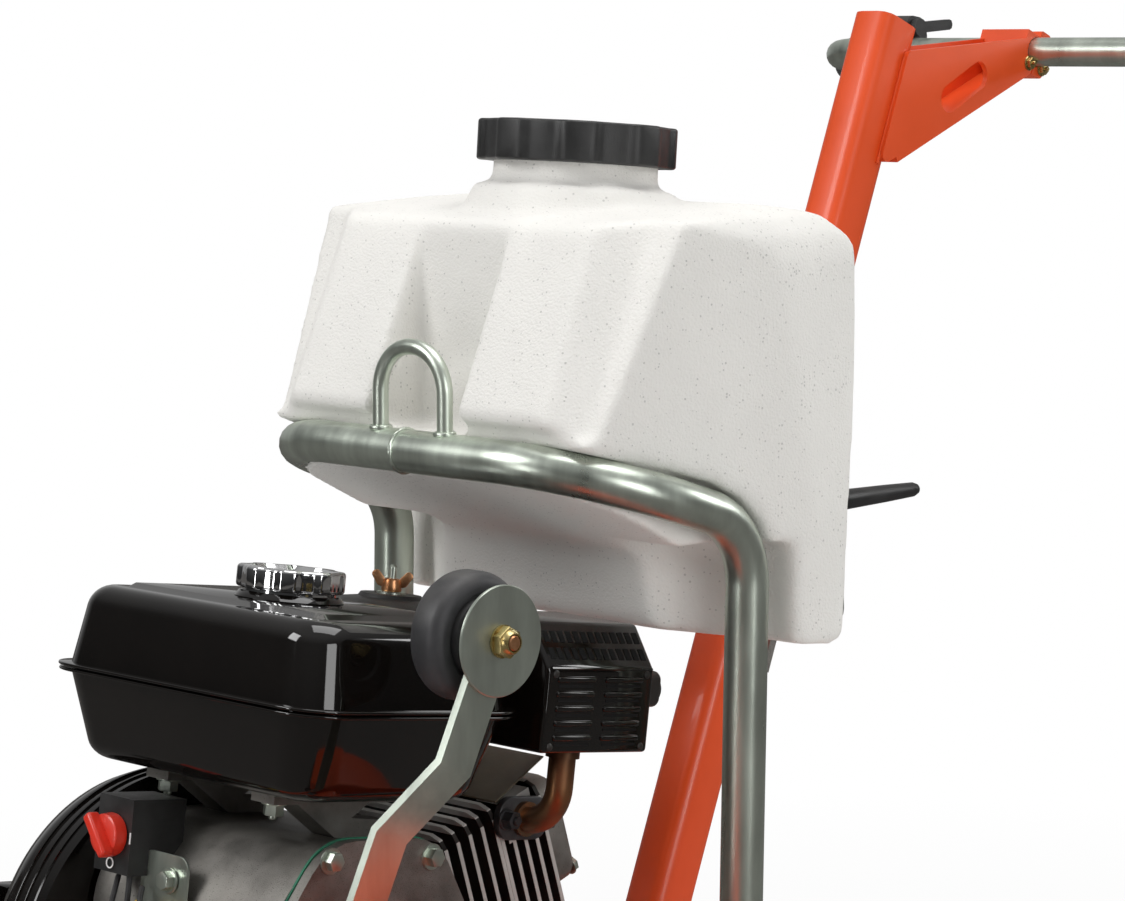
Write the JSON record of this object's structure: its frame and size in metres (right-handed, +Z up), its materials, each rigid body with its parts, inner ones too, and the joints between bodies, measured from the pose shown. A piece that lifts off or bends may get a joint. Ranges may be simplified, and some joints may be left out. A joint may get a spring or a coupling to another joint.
{
  "type": "walk-behind concrete saw",
  "caption": "Walk-behind concrete saw with petrol engine, white water tank in a tube hoop, leaning column, handlebar, depth crank and folding cutting guide.",
  "frame": {"origin": "middle of the footprint of the bounding box, on the floor", "axes": "+Z up, -Y front of the machine, +X the blade side (the machine's left)"},
  "size_m": [0.502, 1.278, 1.0932],
  "materials": {
    "orange_paint": "semi-gloss orange paint",
    "zinc": "satin zinc plate",
    "yellow_zinc": "yellow zinc plate",
    "cast_aluminium": "as-cast",
    "black_paint": "gloss black enamel",
    "satin_black": "satin black",
    "fin_black": "black with bright edges",
    "chrome": "polished",
    "white_plastic": "rotomoulded, fine pits",
    "black_plastic": "moulded",
    "red_plastic": "moulded",
    "rubber": "moulded",
    "tyre": "solid tyre",
    "heated_steel": "heat-tinted",
    "steel": "machined",
    "dark_steel": "dull"
  },
  "bodies": {
    "frame": {"deck_frame": "orange_paint", "rear_axle": "dark_steel", "bearing_left": "cast_aluminium", "bearing_right": "cast_aluminium", "handle_column": "orange_paint", "crank_bearing": "cast_aluminium", "tank_bracket": "orange_paint", "water_tank": "white_plastic", "roll_hoop": "zinc", "lifting_eye": "zinc", "handle_bracket": "orange_paint", "handlebar_clamp": "orange_paint", "crankcase": "cast_aluminium", "side_cover": "cast_aluminium", "cylinder": "fin_black", "cylinder_head": "fin_black", "head_cover": "cast_aluminium", "fan_cover": "black_paint", "recoil_cover": "black_paint", "switch_box": "black_plastic", "tank_arm_left": "cast_aluminium", "tank_arm_right": "cast_aluminium", "fuel_tank_lower": "black_paint", "fuel_tank_upper": "black_paint", "air_cleaner": "black_plastic", "carburettor": "cast_aluminium", "muffler": "satin_black", "muffler_guard": "black_paint", "exhaust_pipe": "heated_steel", "drive_belt": "rubber", "belt_guard": "orange_paint", "blade_guard": "orange_paint", "guide_bolt": "yellow_zinc"},
    "rear_wheel_left": {"rear_wheel_left": "tyre"},
    "rear_wheel_right": {"rear_wheel_right": "tyre"},
    "front_wheel_left": {"front_wheel_left": "tyre"},
    "front_wheel_right": {"front_wheel_right": "tyre"},
    "front_axle": {"swing_arm": "dark_steel"},
    "screw": {"depth_screw": "zinc"},
    "nut": {"lift_nut": "yellow_zinc"},
    "crank": {"depth_crank": "zinc"},
    "crank_handle": {"crank_grip": "black_plastic"},
    "handles": {"handlebar": "zinc", "grip_left": "rubber", "grip_right": "rubber", "throttle_clamp": "black_plastic"},
    "throttle": {"throttle_lever": "black_plastic"},
    "water_cap": {"tank_cap": "black_plastic"},
    "starter": {"starter_grip": "black_plastic"},
    "switch": {"engine_switch": "red_plastic"},
    "petrol_cap": {"fuel_cap": "chrome"},
    "engine_shaft": {"crankshaft": "dark_steel"},
    "blade_drive": {"blade_shaft": "dark_steel", "blade": "steel", "outer_flange": "dark_steel"},
    "front_guard": {"blade_guard_front": "satin_black"},
    "guide": {"guide_arm": "zinc", "guide_disc": "zinc", "guide_axle": "yellow_zinc"},
    "guide_roller": {"guide_wheel": "tyre"}
  },
  "joints": [
    {"name": "rear_wheel_left_spin", "type": "hinge", "parent": "frame", "child": "rear_wheel_left", "pos_m": [-0.012, -0.01257, 0.1], "axis": [1, 0, 0], "continuous": true},
    {"name": "rear_wheel_right_spin", "type": "hinge", "parent": "frame", "child": "rear_wheel_right", "pos_m": [-0.012, -0.01257, 0.1], "axis": [1, 0, 0], "continuous": true},
    {"name": "front_axle_swing", "type": "hinge", "parent": "frame", "child": "front_axle", "pos_m": [-0.012, -0.20645, 0.15754], "axis": [1, 0, 0], "range_deg": [-27, 0]},
    {"name": "front_wheel_left_spin", "type": "hinge", "parent": "front_axle", "child": "front_wheel_left", "pos_m": [-0.012, -0.48237, 0.075], "axis": [1, 0, 0], "continuous": true},
    {"name": "front_wheel_right_spin", "type": "hinge", "parent": "front_axle", "child": "front_wheel_right", "pos_m": [-0.012, -0.48237, 0.075], "axis": [1, 0, 0], "continuous": true},
    {"name": "depth_screw_turn", "type": "hinge", "parent": "frame", "child": "screw", "pos_m": [-0.012, -0.01622, 0.23714], "axis": [0, 0.3691, 0.9294], "range_deg": [-2290, 10]},
    {"name": "lift_nut_slide", "type": "slide", "parent": "frame", "child": "nut", "axis": [0, 0.3691, 0.9294], "range_m": [-0.078, 0.001]},
    {"name": "depth_crank_turn", "type": "hinge", "parent": "frame", "child": "crank", "pos_m": [-0.012, 0.12721, 0.5983], "axis": [0, 1, 0], "range_deg": [-2290, 10]},
    {"name": "crank_grip_spin", "type": "hinge", "parent": "crank", "child": "crank_handle", "pos_m": [-0.012, 0.30921, 0.6863], "axis": [0, 1, 0], "continuous": true},
    {"name": "handlebar_tilt", "type": "hinge", "parent": "frame", "child": "handles", "pos_m": [-0.012, 0.49854, 1.05919], "axis": [1, 0, 0], "range_deg": [-15, 25]},
    {"name": "throttle_turn", "type": "hinge", "parent": "handles", "child": "throttle", "pos_m": [-0.1227, 0.50161, 1.08097], "axis": [1, 0, 0], "range_deg": [-5, 35]},
    {"name": "tank_cap_turn", "type": "hinge", "parent": "frame", "child": "water_cap", "pos_m": [-0.012, -0.05402, 0.97424], "axis": [0, 0.0802, 0.9968], "range_deg": [0, 90]},
    {"name": "starter_pull", "type": "slide", "parent": "frame", "child": "starter", "axis": [0, -0.9903, 0.1392], "range_m": [0, 0.4]},
    {"name": "switch_turn", "type": "hinge", "parent": "frame", "child": "switch", "pos_m": [-0.064, -0.47115, 0.51587], "axis": [0, -0.9903, 0.1392], "range_deg": [0, 60]},
    {"name": "fuel_cap_turn", "type": "hinge", "parent": "frame", "child": "petrol_cap", "pos_m": [-0.012, -0.34652, 0.68416], "axis": [0, 0.1392, 0.9903], "range_deg": [0, 90]},
    {"name": "blade_spin", "type": "hinge", "parent": "frame", "child": "blade_drive", "pos_m": [-0.012, -0.39699, 0.23885], "axis": [1, 0, 0], "continuous": true},
    {"name": "crankshaft_spin", "type": "hinge", "parent": "frame", "child": "engine_shaft", "pos_m": [-0.012, -0.37458, 0.39828], "axis": [1, 0, 0], "continuous": true},
    {"name": "front_guard_turn", "type": "hinge", "parent": "frame", "child": "front_guard", "pos_m": [-0.012, -0.39699, 0.23885], "axis": [1, 0, 0], "range_deg": [-60, 0]},
    {"name": "guide_fold", "type": "hinge", "parent": "frame", "child": "guide", "pos_m": [-0.012, -0.53733, 0.32522], "axis": [1, 0, 0], "range_deg": [0, 162]},
    {"name": "guide_wheel_spin", "type": "hinge", "parent": "guide", "child": "guide_roller", "pos_m": [0.18, -0.36376, 0.67335], "axis": [1, 0, 0], "continuous": true}
  ],
  "couplings": [
    {"joint": "depth_screw_turn", "follows": "front_axle_swing", "ratio": 83.578},
    {"joint": "depth_crank_turn", "follows": "front_axle_swing", "ratio": 83.578},
    {"joint": "lift_nut_slide", "follows": "front_axle_swing", "m_per_rad": 0.15962},
    {"joint": "crankshaft_spin", "follows": "blade_spin", "ratio": 1.2222}
  ]
}
